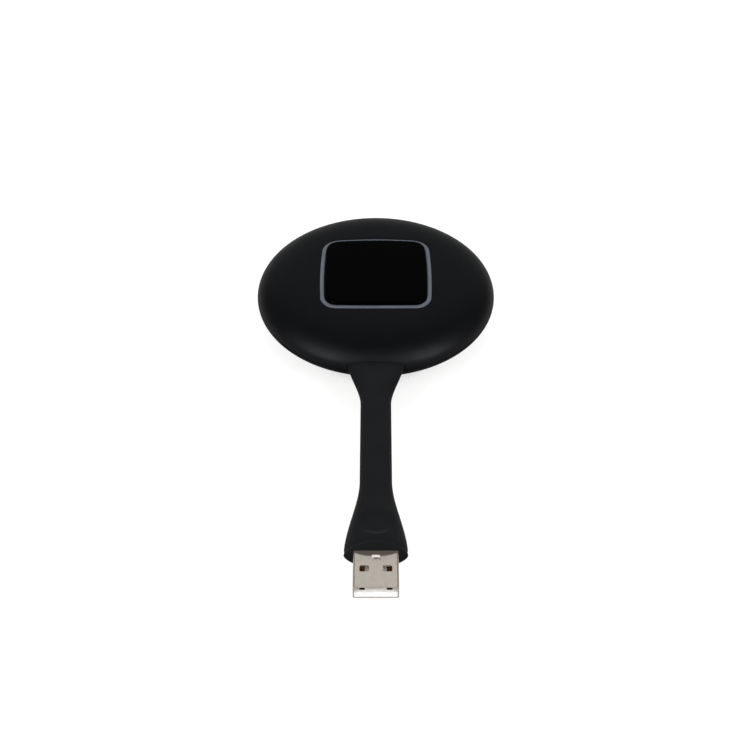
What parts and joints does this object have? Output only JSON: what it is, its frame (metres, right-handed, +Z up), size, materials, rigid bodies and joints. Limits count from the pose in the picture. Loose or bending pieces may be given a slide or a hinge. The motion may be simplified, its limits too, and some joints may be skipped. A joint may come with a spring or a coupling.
{
  "type": "wireless presentation dongle",
  "caption": "Round black puck with a square lit push button and a flexible moulded strap that ends in a USB-A plug.",
  "frame": {"origin": "centre of the rubber foot's underside, on the desk", "axes": "+Z up through the button, -Y along the strap to the plug's open end, +X to the right when the plug points at the viewer"},
  "size_m": [0.077, 0.1616, 0.0185],
  "materials": {
    "satin_plastic": "fine satin grain",
    "gloss_plastic": "piano gloss",
    "ring_plastic": "frosted, translucent",
    "dark_plastic": "as moulded",
    "chip_plastic": "as moulded",
    "white_plastic": "as moulded",
    "lamp_white": "clear over phosphor",
    "silicone": "as moulded",
    "thermal_rubber": "matt",
    "soft_touch_rubber": "soft touch, fine grain",
    "foot_rubber": "matt",
    "cable_jacket": "smooth",
    "wire_insulation": "smooth",
    "circuit_board": "solder resist",
    "tinned_steel": "tinned",
    "spreader_metal": "milled",
    "nickel_steel": "nickel plated, fine brushed",
    "gold_contact": "gold plated"
  },
  "bodies": {
    "housing": {"top_shell": "satin_plastic", "bottom_shell": "satin_plastic", "light_ring": "ring_plastic", "switch_body": "dark_plastic", "strain_clamp": "dark_plastic", "processor": "chip_plastic", "board_components": "chip_plastic", "board_connector": "white_plastic", "lead_plug": "white_plastic", "status_leds": "lamp_white", "return_pads": "silicone", "thermal_pad": "thermal_rubber", "strap_anchor": "soft_touch_rubber", "foot_pad": "foot_rubber", "board_leads": "wire_insulation", "main_board": "circuit_board", "processor_shield": "tinned_steel", "wifi_module": "tinned_steel", "antenna_left": "tinned_steel", "antenna_right": "tinned_steel", "clamp_screws": "tinned_steel", "board_screws": "tinned_steel", "housing_screws": "tinned_steel", "heat_spreader": "spreader_metal"},
    "button": {"button_cap": "gloss_plastic", "button_carrier": "dark_plastic"},
    "stem": {"switch_stem": "white_plastic"},
    "tail": {"strap": "soft_touch_rubber", "strap_cable": "cable_jacket"},
    "plug": {"plug_grip": "soft_touch_rubber", "plug_inner_mould": "dark_plastic", "plug_shell": "nickel_steel", "plug_insulator": "white_plastic", "plug_contacts": "gold_contact", "plug_leads": "wire_insulation"}
  },
  "joints": [
    {"name": "button_press", "type": "slide", "parent": "housing", "child": "button", "axis": [0, 0, 1], "range_m": [-0.0005, 0], "stiffness_N_per_m": 2000, "springref_m": 0.0005, "deforming": ["return_pads"]},
    {"name": "switch_press", "type": "slide", "parent": "housing", "child": "stem", "axis": [0, 0, 1], "range_m": [-0.0005, 0]},
    {"name": "tail_root_bend", "type": "hinge", "parent": "housing", "child": "tail", "pos_m": [0, -0.057, 0.0093], "axis": [1, 0, 0], "range_deg": [-45, 45], "stiffness_Nm_per_rad": 0.09, "deforming": ["strap", "strap_cable"]},
    {"name": "tail_tip_bend", "type": "hinge", "parent": "tail", "child": "plug", "pos_m": [0, -0.08, 0.0093], "axis": [1, 0, 0], "range_deg": [-45, 45], "stiffness_Nm_per_rad": 0.09, "deforming": ["strap", "strap_cable"]}
  ],
  "couplings": [
    {"joint": "switch_press", "follows": "button_press", "ratio": 1}
  ]
}
